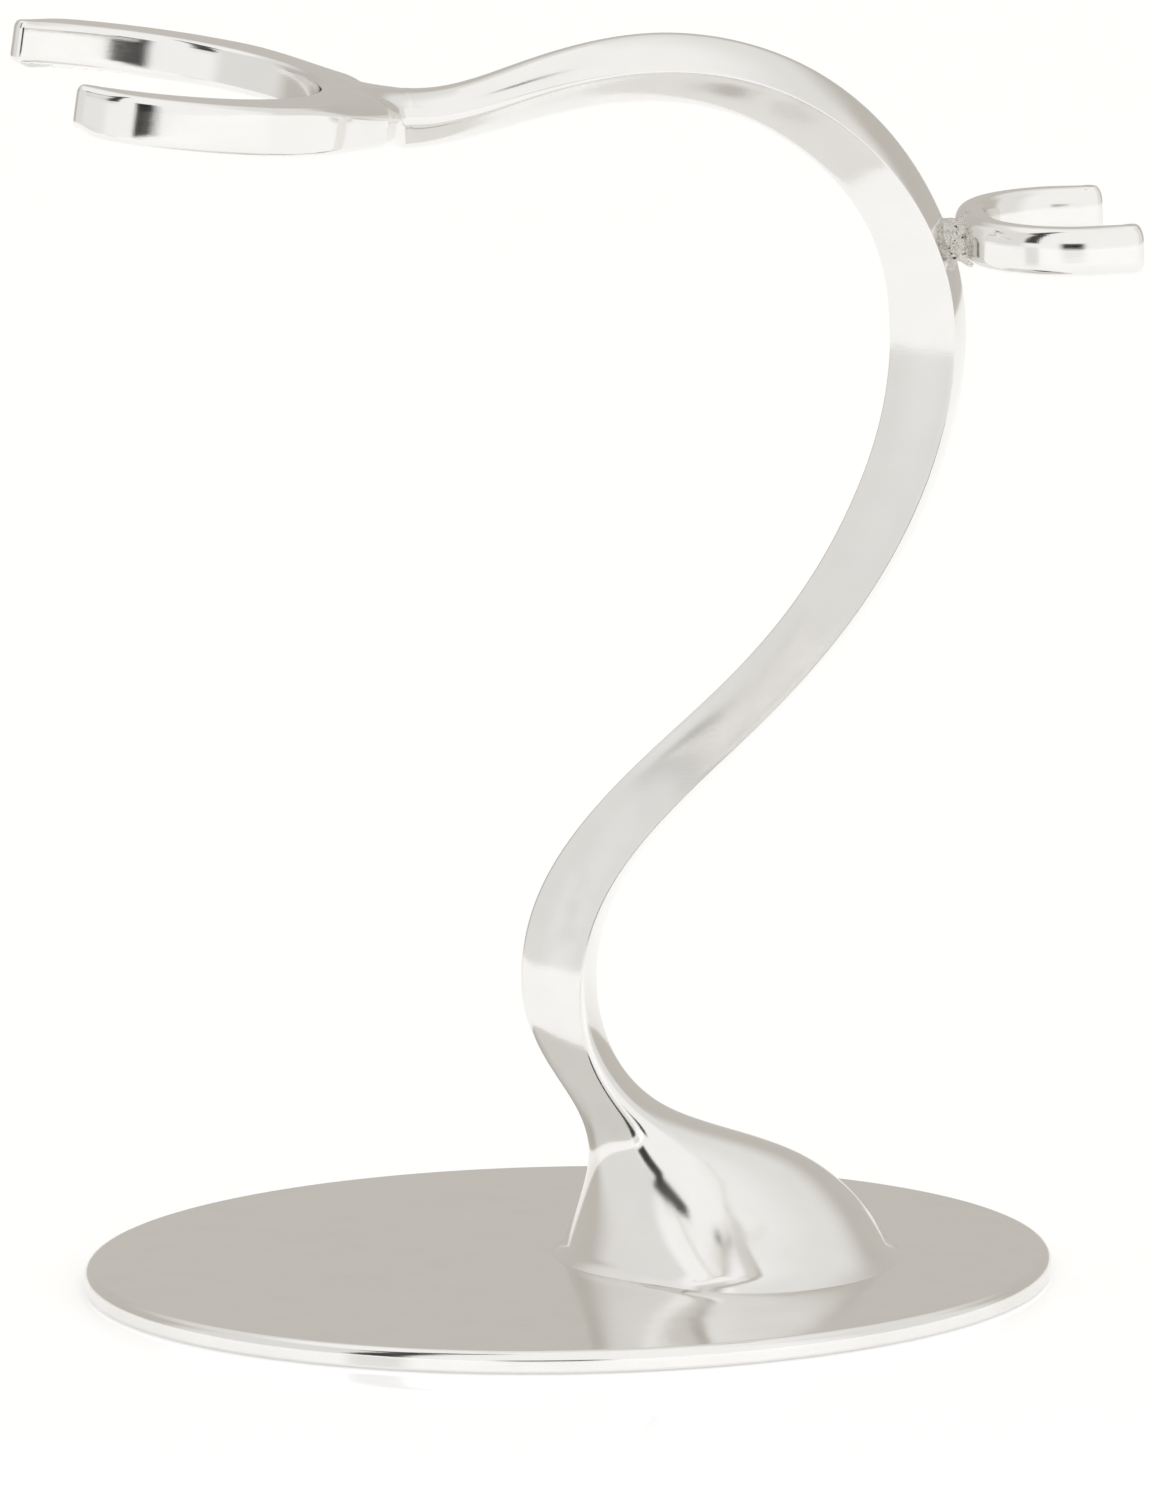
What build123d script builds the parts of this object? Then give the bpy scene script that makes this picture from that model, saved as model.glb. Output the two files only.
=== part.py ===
from build123d import *
import math
import os

# A countertop stand for a shaving brush and a safety razor, in polished nickel-plated brass.
# Frame: millimetres, +Z up, origin at the middle of the underside of the felt pad.
# The stem lies in the XZ plane, which is the plane of symmetry.
# The brush fork reaches towards -X and the razor fork towards +X.

# ---- base plate -------------------------------------------------------------------------------
BASE_RADIUS = 44.0
PLATE_BOTTOM_Z = 0.1          # the felt pad stands this far proud of the plate
PLATE_THICKNESS = 2.0
PLATE_TOP_Z = PLATE_BOTTOM_Z + PLATE_THICKNESS
RIM_TOP_RADIUS = 0.9
RIM_BOTTOM_RADIUS = 0.3
PAD_RECESS_RADIUS = 40.0
PAD_RECESS_DEPTH = 0.5

# ---- pad --------------------------------------------------------------------------------------
PAD_RADIUS = 39.8
ADHESIVE_THICKNESS = 0.1

# ---- foot screws ------------------------------------------------------------------------------
SCREW_PLACES_X = (7.5, 20.0)
SCREW_RADIUS = 2.0
SCREW_LENGTH = 8.0
SCREW_HEAD_RADIUS = 3.5
SCREW_SOCKET_RADIUS = 1.4
SCREW_SOCKET_DEPTH = 1.2
TAPPED_HOLE_RADIUS = 2.05
TAPPED_HOLE_SPARE_DEPTH = 0.5
PLATE_HOLE_RADIUS = 2.2

# ---- stem -------------------------------------------------------------------------------------
# Rows run from the neck at the brush fork, over the arch, down the S and into the foot.
# They are the control points of smooth cubic curves, not points on the surface:
#   outer ridge x and z, inner edge x and z, half width at the side edge,
#   place of the side edge as a share of the way from ridge to inner edge,
#   crown of the outer faces (0 flat, 1 round), roundness of the inner edge.
NECK_X = -13.0
STEM_ROWS = (
    (NECK_X, 110.6, NECK_X, 105.1, 4.0, 0.45, 0.80, 0.25),
    (-9.1, 110.3, -9.3, 105.1, 3.6, 0.45, 0.60, 0.25),
    (-3.0, 112.8, -0.9, 107.6, 3.7, 0.46, 0.35, 0.20),
    (9.4, 115.8, 9.1, 109.0, 4.5, 0.48, 0.30, 0.20),
    (22.6, 112.9, 18.8, 106.9, 4.6, 0.42, 0.25, 0.15),
    (32.7, 104.7, 27.0, 100.4, 4.6, 0.36, 0.20, 0.12),
    (38.6, 91.7, 31.3, 92.5, 4.6, 0.26, 0.15, 0.10),
    (38.1, 80.1, 31.2, 80.6, 4.6, 0.26, 0.15, 0.10),
    (33.9, 68.3, 27.7, 70.8, 4.6, 0.27, 0.15, 0.10),
    (27.1, 58.3, 22.3, 61.6, 4.6, 0.28, 0.15, 0.10),
    (18.6, 49.8, 14.7, 53.7, 4.6, 0.28, 0.15, 0.10),
    (9.9, 42.4, 6.2, 47.0, 4.6, 0.28, 0.15, 0.10),
    (3.5, 34.4, -3.1, 36.9, 4.6, 0.28, 0.15, 0.15),
    (2.5, 24.2, -4.9, 24.2, 4.7, 0.30, 0.20, 0.25),
    (7.8, 14.5, 1.5, 16.2, 5.8, 0.50, 0.40, 0.35),
    (23.4, 11.8, 2.8, 10.6, 7.6, 0.78, 0.80, 0.40),
    (28.3, 4.9, 0.6, 5.3, 15.0, 0.74, 0.95, 0.45),
    (29.7, PLATE_TOP_Z, -0.8, PLATE_TOP_Z, 21.5, 0.62, 1.00, 0.45),
)
STEM_SECTIONS = 44

# ---- brush fork -------------------------------------------------------------------------------
SEAM_THICKNESS = 0.25
FORK_ROOT_X = NECK_X - SEAM_THICKNESS
FORK_ROOT_TOP_Z = 110.6
FORK_PITCH = 8.5              # degrees that the fork rises from its root to its tips
FORK_HEIGHT = 4.5
# Distances in the fork's own plane, measured from its root towards its tips.
RING_INNER_CENTRE = 25.9
RING_INNER_RADIUS = 18.0
RING_OUTER_CENTRE = 24.1
RING_OUTER_RADIUS = 22.1
FLANK_ANGLE = 54.0            # degrees between the crown's flanks and the fork's centre line
NECK_HALF_WIDTH = 4.0
NECK_CORNER_RADIUS = 6.0
CROWN_START = 0.8             # nearer to the root than this there is only the fork's neck
# Each prong ends in a blunt nose with a slanted facet across its outer side.
TIP_CUT = ((31.1, 13.0), (32.0, 15.6), (33.3, 18.2), (29.1, 21.8))
TIP_CORNER_RADIUS = 0.8
FORK_EDGE_RADIUS = 0.6
# The fork's neck: distance from the root, depth of top and bottom below the fork's top plane,
# and half width, at the control points of the same curves as the stem's.
FORK_NECK_ROWS = (
    (0.0, 0.0, 5.5, 4.0),
    (1.5, -0.1, 5.3, 4.2),
    (3.5, 0.05, 5.0, 5.2),
    (6.0, 0.2, 4.6, 7.5),
    (8.5, 0.4, 4.2, 9.5),
)
FORK_NECK_SECTIONS = 4
FORK_NECK_SHAPE = (0.45, 0.9, 0.6)    # side edge's place, crown and roundness of the inner edge

# ---- razor fork -------------------------------------------------------------------------------
RAZOR_TOP_Z = 96.9
RAZOR_HEIGHT = 4.4
RAZOR_ROOT_X = 37.7
RAZOR_OUTER_HALF_WIDTH = 12.3
RAZOR_WALL = 3.0
RAZOR_TIP_X = 52.7
RAZOR_CORNER_RADIUS = 10.3
RAZOR_TIP_RADIUS = 1.3
RAZOR_EDGE_RADIUS = 1.0

# ---- razor fork's braze bead ------------------------------------------------------------------
# place along X, half width in Y, half height in Z
BEAD_RINGS = ((34.9, 2.6, 3.0), (36.9, 2.1, 2.45), (38.3, 2.6, 2.15))
BEAD_Z = 94.2


def cubic_curve(rows, count):
    """Points along the smooth clamped cubic curve that has these rows as its control points."""
    last = len(rows) - 3
    knots = [0] * 3 + list(range(last + 1)) + [last] * 3
    result = []
    for step in range(count):
        place = last * step / (count - 1)
        span = min(int(place), last - 1) + 3
        window = [rows[span - 3 + k] for k in range(4)]
        for level in range(1, 4):
            for k in range(3, level - 1, -1):
                low = knots[span - 3 + k]
                high = knots[span + 1 + k - level]
                share = (place - low) / (high - low)
                window[k] = [a + (b - a) * share for a, b in zip(window[k - 1], window[k])]
        result.append(window[3])
    return result


def kite_section(ridge, inner, half_width, edge_share, crown, nose):
    """A closed kite-like face in the plane through ridge, inner edge and the Y direction."""

    def point(share, side):
        across = inner - ridge
        return ridge + across * share + Vector(0, side, 0)

    edges = []
    for side in (-half_width, half_width):
        ridge_end = point(0, 0)
        crown_point = point(edge_share * (1 - crown) / 2, side * (1 + crown) / 2)
        side_end = point(edge_share, side)
        flank_point = point(edge_share + (1 - edge_share) / 3, side * 2 / 3)
        nose_point = point(1, side * nose)
        inner_end = point(1, 0)
        edges.append(Bezier(ridge_end, crown_point, side_end))
        edges.append(Bezier(side_end, flank_point, nose_point, inner_end))
    return Face(Wire([edges[0], edges[1], edges[3], edges[2]]))


def make_base_plate():
    plate = Pos(0, 0, PLATE_BOTTOM_Z) * extrude(Circle(BASE_RADIUS), PLATE_THICKNESS)
    rims = plate.edges().sort_by(Axis.Z)
    plate = fillet(rims[-1], RIM_TOP_RADIUS)
    plate = fillet(plate.edges().sort_by(Axis.Z)[0], RIM_BOTTOM_RADIUS)
    recess = Pos(0, 0, PLATE_BOTTOM_Z) * extrude(Circle(PAD_RECESS_RADIUS), PAD_RECESS_DEPTH)
    plate -= recess
    web_bottom = PLATE_BOTTOM_Z + PAD_RECESS_DEPTH
    for x in SCREW_PLACES_X:
        plate -= Pos(x, 0, web_bottom) * extrude(Circle(PLATE_HOLE_RADIUS), PLATE_THICKNESS)
        plate -= screw_head_cone(x)
    return plate


def screw_head_cone(x):
    """The countersunk cone, as deep as its radius falls, so that it is a right-angled cone."""
    depth = SCREW_HEAD_RADIUS - SCREW_RADIUS
    base = Pos(x, 0, PLATE_BOTTOM_Z + PAD_RECESS_DEPTH + depth / 2)
    return base * Cone(SCREW_HEAD_RADIUS, SCREW_RADIUS, depth)


def make_foot_screws():
    screws = []
    head_z = PLATE_BOTTOM_Z + PAD_RECESS_DEPTH
    for x in SCREW_PLACES_X:
        shank = Pos(x, 0, head_z) * extrude(Circle(SCREW_RADIUS), SCREW_LENGTH)
        shank = chamfer(shank.edges().sort_by(Axis.Z)[-1], 0.4)
        socket = Pos(x, 0, head_z) * extrude(RegularPolygon(SCREW_SOCKET_RADIUS, 6), SCREW_SOCKET_DEPTH)
        screws.append(shank + screw_head_cone(x) - socket)
    return Compound(children=[s.solid() for s in screws])


def make_stem():
    sections = []
    for row in cubic_curve(STEM_ROWS, STEM_SECTIONS):
        ridge = Vector(row[0], 0, row[1])
        inner = Vector(row[2], 0, row[3])
        sections.append(kite_section(ridge, inner, *row[4:]))
    stem = loft(sections)
    depth = SCREW_LENGTH + TAPPED_HOLE_SPARE_DEPTH - (PLATE_THICKNESS - PAD_RECESS_DEPTH)
    for x in SCREW_PLACES_X:
        stem -= Pos(x, 0, PLATE_TOP_Z) * extrude(Circle(TAPPED_HOLE_RADIUS), depth)
    return stem


def neck_face(x):
    """The stem's own section at the seam, moved along X."""
    row = STEM_ROWS[0]
    return kite_section(Vector(x, 0, row[1]), Vector(x, 0, row[3]), *row[4:])


def make_brush_fork_braze():
    return extrude(neck_face(FORK_ROOT_X), SEAM_THICKNESS, dir=(1, 0, 0))


def fork_plan():
    """The brush fork's outline seen from above: a crown and a C-shaped ring, along +X."""
    angle = math.radians(FLANK_ANGLE)
    touch_x = RING_OUTER_CENTRE - RING_OUTER_RADIUS * math.sin(angle)
    touch_y = RING_OUTER_RADIUS * math.cos(angle)
    corner_x = touch_x - (touch_y - NECK_HALF_WIDTH) / math.tan(angle)
    start_x = -NECK_CORNER_RADIUS
    crown = make_face(Polyline(
        (start_x, -NECK_HALF_WIDTH),
        (corner_x, -NECK_HALF_WIDTH),
        (touch_x, -touch_y),
        (touch_x, touch_y),
        (corner_x, NECK_HALF_WIDTH),
        (start_x, NECK_HALF_WIDTH),
        close=True,
    ))
    inside_corners = [v for v in crown.vertices() if abs(v.X - corner_x) < 0.01]
    crown = fillet(inside_corners, NECK_CORNER_RADIUS)
    crown -= Pos(CROWN_START - RING_OUTER_RADIUS, 0) * Rectangle(2 * RING_OUTER_RADIUS, RING_OUTER_RADIUS)
    plan = crown + Pos(RING_OUTER_CENTRE, 0) * Circle(RING_OUTER_RADIUS)
    plan -= Pos(RING_INNER_CENTRE, 0) * Circle(RING_INNER_RADIUS)
    nose_x = TIP_CUT[2][0]
    plan -= Pos(nose_x + RING_OUTER_RADIUS, 0) * Rectangle(2 * RING_OUTER_RADIUS, 3 * RING_OUTER_RADIUS)
    for side in (-1, 1):
        outline = TIP_CUT + ((TIP_CUT[3][0], 2 * RING_OUTER_RADIUS), (2 * nose_x, 2 * RING_OUTER_RADIUS))
        plan -= make_face(Polyline(*[(x, side * y) for x, y in outline], close=True))
    tip_corners = [v for v in plan.vertices() if v.X > TIP_CUT[-1][0] - 1]
    return fillet(tip_corners, TIP_CORNER_RADIUS)


def make_brush_fork():
    pitch = math.radians(FORK_PITCH)
    along = Vector(-math.cos(pitch), 0, math.sin(pitch))
    upward = Vector(math.sin(pitch), 0, math.cos(pitch))
    root = Vector(FORK_ROOT_X, 0, FORK_ROOT_TOP_Z)
    top_plane = Plane(origin=root, x_dir=along, z_dir=upward)
    plate = extrude(top_plane * fork_plan(), -FORK_HEIGHT)

    def is_rim(edge):
        """True for the edges of the top and bottom faces, except the two across the root."""
        is_level = abs((edge @ 0 - edge @ 1).normalized().dot(upward)) < 0.1
        return is_level and (edge @ 0.5 - root).dot(along) > CROWN_START + 0.01

    plate = fillet(plate.edges().filter_by(is_rim), FORK_EDGE_RADIUS)
    sections = [neck_face(FORK_ROOT_X)]
    for distance, top, bottom, half_width in cubic_curve(FORK_NECK_ROWS, FORK_NECK_SECTIONS)[1:]:
        ridge = root + along * distance - upward * top
        inner = root + along * distance - upward * bottom
        sections.append(kite_section(ridge, inner, half_width, *FORK_NECK_SHAPE))
    return plate + loft(sections)


def make_razor_fork():
    length = RAZOR_TIP_X - RAZOR_ROOT_X
    middle = Pos(RAZOR_ROOT_X + length, 0)
    outer = Rectangle(2 * length, 2 * RAZOR_OUTER_HALF_WIDTH)
    outer = fillet(outer.vertices(), RAZOR_CORNER_RADIUS)
    inner_length = length - RAZOR_WALL
    inner = Rectangle(2 * inner_length, 2 * (RAZOR_OUTER_HALF_WIDTH - RAZOR_WALL))
    inner = fillet(inner.vertices(), RAZOR_CORNER_RADIUS - RAZOR_WALL)
    plan = middle * (outer - inner)
    plan -= Pos(RAZOR_TIP_X + length, 0) * Rectangle(2 * length, 4 * RAZOR_OUTER_HALF_WIDTH)
    fork = Pos(0, 0, RAZOR_TOP_Z - RAZOR_HEIGHT) * extrude(plan, RAZOR_HEIGHT)
    tips = fork.edges().filter_by(Axis.Z).group_by(Axis.X)[-1]
    fork = fillet(tips, RAZOR_TIP_RADIUS)
    rims = fork.edges().filter_by(lambda e: abs((e @ 0).Z - (e @ 1).Z) < 0.01)
    return fillet(rims, RAZOR_EDGE_RADIUS)


def make_razor_fork_braze(stem, razor_fork):
    rings = []
    for x, half_width, half_height in BEAD_RINGS:
        plane = Plane(origin=(x, 0, BEAD_Z), x_dir=(0, 1, 0), z_dir=(1, 0, 0))
        rings.append(plane * Ellipse(half_width, half_height))
    return loft(rings) - stem - razor_fork


def make_pad_adhesive():
    top = PLATE_BOTTOM_Z + PAD_RECESS_DEPTH
    return Pos(0, 0, top - ADHESIVE_THICKNESS) * extrude(Circle(PAD_RADIUS), ADHESIVE_THICKNESS)


def make_base_pad():
    return extrude(Circle(PAD_RADIUS), PLATE_BOTTOM_Z + PAD_RECESS_DEPTH - ADHESIVE_THICKNESS)


def main():
    stem = make_stem()
    razor_fork = make_razor_fork()
    nodes = {
        "base_plate": make_base_plate(),
        "stem": stem,
        "brush_fork": make_brush_fork(),
        "brush_fork_braze": make_brush_fork_braze(),
        "razor_fork": razor_fork,
        "razor_fork_braze": make_razor_fork_braze(stem, razor_fork),
        "foot_screws": make_foot_screws(),
        "pad_adhesive": make_pad_adhesive(),
        "base_pad": make_base_pad(),
    }
    os.makedirs("parts", exist_ok=True)
    for name, shape in nodes.items():
        export_step(shape, f"parts/{name}.step")


main()
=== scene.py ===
import math

import bmesh
import bpy
import numpy as np
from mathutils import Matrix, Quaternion, Vector, noise


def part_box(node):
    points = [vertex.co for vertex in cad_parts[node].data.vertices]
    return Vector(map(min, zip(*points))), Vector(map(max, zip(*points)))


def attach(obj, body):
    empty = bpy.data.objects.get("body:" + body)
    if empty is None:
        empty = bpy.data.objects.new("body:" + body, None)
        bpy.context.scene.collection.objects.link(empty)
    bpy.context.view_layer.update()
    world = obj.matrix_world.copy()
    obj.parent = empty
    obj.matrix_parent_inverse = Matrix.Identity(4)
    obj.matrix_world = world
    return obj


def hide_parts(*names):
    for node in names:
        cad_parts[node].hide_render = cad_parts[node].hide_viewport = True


# A countertop stand for a shaving brush and a safety razor, in polished nickel-plated brass.
# Shapes are worked out in millimetres in the CAD frame and turned into metres by make_piece.

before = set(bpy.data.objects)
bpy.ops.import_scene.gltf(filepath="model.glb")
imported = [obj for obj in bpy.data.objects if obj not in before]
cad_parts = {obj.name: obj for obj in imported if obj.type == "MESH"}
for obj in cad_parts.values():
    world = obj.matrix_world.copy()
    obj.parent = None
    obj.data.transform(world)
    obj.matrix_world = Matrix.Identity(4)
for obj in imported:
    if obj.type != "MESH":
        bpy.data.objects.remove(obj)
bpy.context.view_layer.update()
MM = 0.001
SHARP_ANGLE = math.radians(40)


def box_mm(node):
    low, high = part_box(node)
    return np.array(low) / MM, np.array(high) / MM


PLATE_LOW, PLATE_HIGH = box_mm("base_plate")
PLATE_TOP = PLATE_HIGH[2]
PLATE_RADIUS = PLATE_HIGH[1]
PAD_HIGH = box_mm("base_pad")[1]
SEAM_LOW, SEAM_HIGH = box_mm("brush_fork_braze")
RAZOR_LOW, RAZOR_HIGH = box_mm("razor_fork")

# ---- camera -----------------------------------------------------------------------------------
CAMERA_PLACE = (-0.7427, -4.4383, 0.8910)
CAMERA_TARGET = (0.00169, 0.0, 0.04897)
CAMERA_ROLL = -0.966
CAMERA_LENS = 1210.6
CAMERA_SENSOR = 36
CAMERA_CLIP = (0.1, 50)

# ---- base plate -------------------------------------------------------------------------------
RIM_TOP_RADIUS = 0.9
RIM_BOTTOM_RADIUS = 0.3
RIM_TOP_STEPS = 15
RIM_BOTTOM_STEPS = 7
RECESS_RADIUS = 40.0
RECESS_DEPTH = 0.5
SCREW_PLACES_X = (7.5, 20.0)
PLATE_HOLE_RADIUS = 2.2
HEAD_HOLE_RADIUS = 3.5
HEAD_HOLE_DEPTH = 1.3
TAPPED_HOLE_RADIUS = 2.05
TAPPED_HOLE_DEPTH = 7.0
ROUND_STEPS = 384

# ---- felt pad ---------------------------------------------------------------------------------
PAD_TOP_ROUNDING = 0.15
PAD_BOTTOM_ROUNDING = 0.2
PAD_ROUNDING_STEPS = 5
PAD_STEPS = 192
PAD_RINGS = 40                # across the underside, from the first radius nearly to the edge
PAD_FIRST_RADIUS = 1.0
PAD_EDGE_MARGIN = 0.4
PAD_HOLLOWS = 0.04            # how far the underside's hollows rise
PAD_HOLLOW_SCALE = 0.9

# ---- stem -------------------------------------------------------------------------------------
# Control points of smooth cubic curves, from the neck over the arch, down the S and into the foot:
#   outer ridge x and z, inner edge x and z, half width, place of the side edge across the
#   section, crown of the outer faces, roundness of the inner edge,
#   rounding of the side edge and of the ridge in millimetres.
STEM_ROWS = (
    (-13.0, 110.6, -13.0, 105.1, 4.0, 0.45, 0.80, 0.25, 1.20, 1.20),
    (-9.1, 110.3, -9.3, 105.1, 3.6, 0.45, 0.60, 0.25, 1.05, 1.20),
    (-3.0, 112.8, -0.9, 107.6, 3.7, 0.46, 0.35, 0.20, 0.60, 1.20),
    (9.4, 115.8, 9.1, 109.0, 4.5, 0.48, 0.30, 0.20, 0.25, 1.00),
    (22.6, 112.9, 18.8, 106.9, 4.6, 0.42, 0.25, 0.15, 0.15, 0.80),
    (32.7, 104.7, 27.0, 100.4, 4.6, 0.36, 0.20, 0.12, 0.12, 0.60),
    (38.6, 91.7, 31.3, 92.5, 4.6, 0.26, 0.15, 0.10, 0.12, 0.50),
    (38.1, 80.1, 31.2, 80.6, 4.6, 0.26, 0.15, 0.10, 0.12, 0.50),
    (33.9, 68.3, 27.7, 70.8, 4.6, 0.27, 0.15, 0.10, 0.12, 0.50),
    (27.1, 58.3, 22.3, 61.6, 4.6, 0.28, 0.15, 0.10, 0.12, 0.50),
    (18.6, 49.8, 14.7, 53.7, 4.6, 0.28, 0.15, 0.10, 0.12, 0.50),
    (9.9, 42.4, 6.2, 47.0, 4.6, 0.28, 0.15, 0.10, 0.12, 0.50),
    (3.5, 34.4, -3.1, 36.9, 4.6, 0.28, 0.15, 0.15, 0.12, 0.60),
    (2.5, 24.2, -4.9, 24.2, 4.7, 0.30, 0.20, 0.25, 0.40, 0.80),
    (7.8, 14.5, 1.5, 16.2, 5.8, 0.50, 0.40, 0.35, 2.20, 1.20),
    (23.4, 11.8, 2.8, 10.6, 7.6, 0.78, 0.80, 0.40, 4.50, 1.60),
    (28.3, 4.9, 0.6, 5.3, 15.0, 0.74, 0.95, 0.45, 6.50, 1.60),
    (29.4, PLATE_TOP, -0.5, PLATE_TOP, 21.1, 0.62, 1.00, 0.45, 7.00, 1.60),
)
STEM_STATIONS = 480
# The foot spreads a little in its last millimetre above the plate, away from its middle.
FLARE_HEIGHT = 1.0
FLARE_REACH = 0.6
FOOT_CENTRE = (12.0, 0.0)
# Points along half a section: the ridge's turn, outer face, side edge's turn and inner face.
RIDGE_POINTS = 6
OUTER_FACE_POINTS = 14
EDGE_POINTS = 9
INNER_FACE_POINTS = 20
INNER_FACE_CROWDING = 0.85    # below 1, the points stand closer together near the inner edge
# The largest share of a face that a rounded end may take.
RIDGE_CUT_LIMIT = 0.4
OUTER_CUT_LIMIT = 0.5
INNER_CUT_LIMIT = 0.45

# ---- brush fork -------------------------------------------------------------------------------
# Lengths in the fork's own plane, from its root towards its tips.
FORK_PITCH = math.radians(8.5)
FORK_ROOT = (SEAM_LOW[0], 0.0, SEAM_HIGH[2])
FORK_HEIGHT = 4.5
FORK_INNER_HEIGHT = 3.9
RING_INNER = (25.9, 18.0)
RING_OUTER = (24.1, 22.1)
FLANK_ANGLE = math.radians(54.0)
FLANK_START = 2.6
TIP_OUTER = (29.1, 21.53)
TIP_NOSE = (33.3, 18.2)
TIP_INNER = (32.5, 16.58)
OUTER_ARC_POINTS = 120
INNER_ARC_POINTS = 160
# How far from each corner of the tip its rounding starts.
TIP_OUTER_CUT = 2.0
TIP_NOSE_CUT = 1.0
TIP_INNER_CUT = 0.75
FORK_SPACING = 0.3            # between the outline's points
FLANK_POINTS = 60             # points of the outline that are eased into a smooth flank
FLANK_PASSES = 120
FORK_RIM = 0.65
CROWN_RIM_INSET = 4.0
CROWN_RIM_DROP = 2.0
CROWN_RIM_FADE = (1.0, 12.0)
TIP_RIM_EXTRA = 0.2
TIP_RIM_FADE = (TIP_OUTER[0] - 1.0, TIP_OUTER[0] + 2.0)
NOSE_HEIGHT_FADE = (TIP_NOSE[0] - 2.2, TIP_NOSE[0] - 0.2)
TIP_BLEND = 12                # outline points over which the outer rim turns into the inner
NECK_HALF_WIDTH = 4.0
NECK_COLUMNS = 40

# ---- rims of both forks -----------------------------------------------------------------------
RIM_STEPS = 9
WALL_STEPS = 5
FLAT_STEPS = 19
# An inset stays this share short of folding over itself, also at the neighbours within reach.
INSET_SAFETY = 0.8
INSET_NEIGHBOURS = 4

# ---- razor fork -------------------------------------------------------------------------------
RAZOR_ROOT_X = RAZOR_LOW[0]
RAZOR_TIP_X = RAZOR_HIGH[0]
RAZOR_HALF_WIDTH = RAZOR_HIGH[1]
RAZOR_WALL = 3.0
RAZOR_CORNER = 10.3
RAZOR_TIP_ROUNDING = 1.15
RAZOR_RIM = 1.1
RAZOR_RIM_DROP = 1.6
RAZOR_SPACING = 0.25
RAZOR_OUTER_ARC_POINTS = 40
RAZOR_INNER_ARC_POINTS = 30
RAZOR_TIP_OUTER_INSET = 0.6   # the tip's outer corner stands this far in from the side
RAZOR_TIP_MIDDLE = 1.8        # from the side to the middle of the tip's face

# ---- razor fork's braze bead ------------------------------------------------------------------
BEAD_START_X = 34.6
BEAD_OVERLAP = 0.9            # how far the bead reaches into the fork
BEAD_HALF_WIDTH = 2.6
BEAD_HALF_HEIGHT = 2.25
BEAD_MARGIN = 0.5
BEAD_WAIST = 0.62             # share of the bead's size at its narrowest
BEAD_WAIST_PLACE = 0.55
BEAD_WAIST_SPREAD = 1.5
BEAD_STEPS = 96
BEAD_RINGS = 48
BEAD_STRETCH = 1.3            # the lumps are this much shorter along the bead
BEAD_LUMPS = ((0.22, 1.1), (0.12, 3.1))    # height, and waves to a millimetre

# ---- studio -----------------------------------------------------------------------------------
FLOOR_RADIUS = 0.7            # metres
FLOOR_STEPS = 128
FLOOR_GLOW = 0.27
WORLD_COLOUR = (1.04, 1.035, 1.03, 1)
# Azimuth from and to, elevation from and to, softness, all in degrees, and colour.
# Azimuth 0 is the -Y side and 90 the +X side. A later panel lies over the earlier ones.
STUDIO_PANELS = (
    (60, 200, -90, 62, 16, (0.86, 0.85, 0.83, 1)),
    (-200, -66, -90, 52, 6, (0.84, 0.83, 0.815, 1)),
    (112, 200, -90, 34, 10, (0.58, 0.555, 0.515, 1)),
    (-200, -118, -90, 34, 10, (0.58, 0.555, 0.515, 1)),
    (-25, -2, -90, 8, 4, (0.03, 0.03, 0.028, 1)),
    (-64, -49, 5, 54, 2.5, (0.05, 0.048, 0.045, 1)),
    (-76, -54, 48, 80, 3, (0.05, 0.048, 0.045, 1)),
)


# ---- small geometry helpers --------------------------------------------------------------------
def cubic_curve(rows, count):
    """Points along the smooth clamped cubic curve that has these rows as its control points."""
    rows = np.array(rows, float)
    last = len(rows) - 3
    knots = [0] * 3 + list(range(last + 1)) + [last] * 3
    result = []
    for place in np.linspace(0, last, count):
        span = min(int(place), last - 1) + 3
        window = [rows[span - 3 + k] for k in range(4)]
        for level in range(1, 4):
            for k in range(3, level - 1, -1):
                low = knots[span - 3 + k]
                high = knots[span + 1 + k - level]
                window[k] = window[k - 1] + (window[k] - window[k - 1]) * (place - low) / (high - low)
        result.append(window[3])
    return np.array(result)


def bezier(points, places):
    """Points at the given places, 0 to 1, of the Bezier curve with these control points."""
    t = np.asarray(places, float)[:, None]
    layer = [np.asarray(p, float)[None, :] + 0 * t for p in points]
    while len(layer) > 1:
        layer = [a * (1 - t) + b * t for a, b in zip(layer, layer[1:])]
    return layer[0]


def smooth_step(value):
    """An eased step, 0 below 0 and 1 above 1."""
    value = np.clip(value, 0, 1)
    return value * value * (3 - 2 * value)


def fade(value, span):
    """An eased step from 0 at the start of the span to 1 at its end."""
    return smooth_step((value - span[0]) / (span[1] - span[0]))


def arc(centre, radius, start, end, count):
    """Points of a circle between two angles in degrees, both ends included."""
    angles = np.radians(np.linspace(start, end, count))
    return np.stack([centre[0] + radius * np.cos(angles), centre[1] + radius * np.sin(angles)], 1)


def round_corner(points, corner, cut, count=8):
    """An open outline with the corner point at that index replaced by a smooth turn."""
    points = [np.asarray(p, float) for p in points]
    middle = points[corner]
    before = corner
    while before > 0 and np.linalg.norm(points[before] - middle) < cut:
        before -= 1
    after = corner
    while after < len(points) - 1 and np.linalg.norm(points[after] - middle) < cut:
        after += 1
    start = middle + (points[before] - middle) * cut / np.linalg.norm(points[before] - middle)
    end = middle + (points[after] - middle) * cut / np.linalg.norm(points[after] - middle)
    turn = bezier((start, middle, end), np.linspace(0, 1, count))
    return points[: before + 1] + list(turn) + points[after:]


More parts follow.
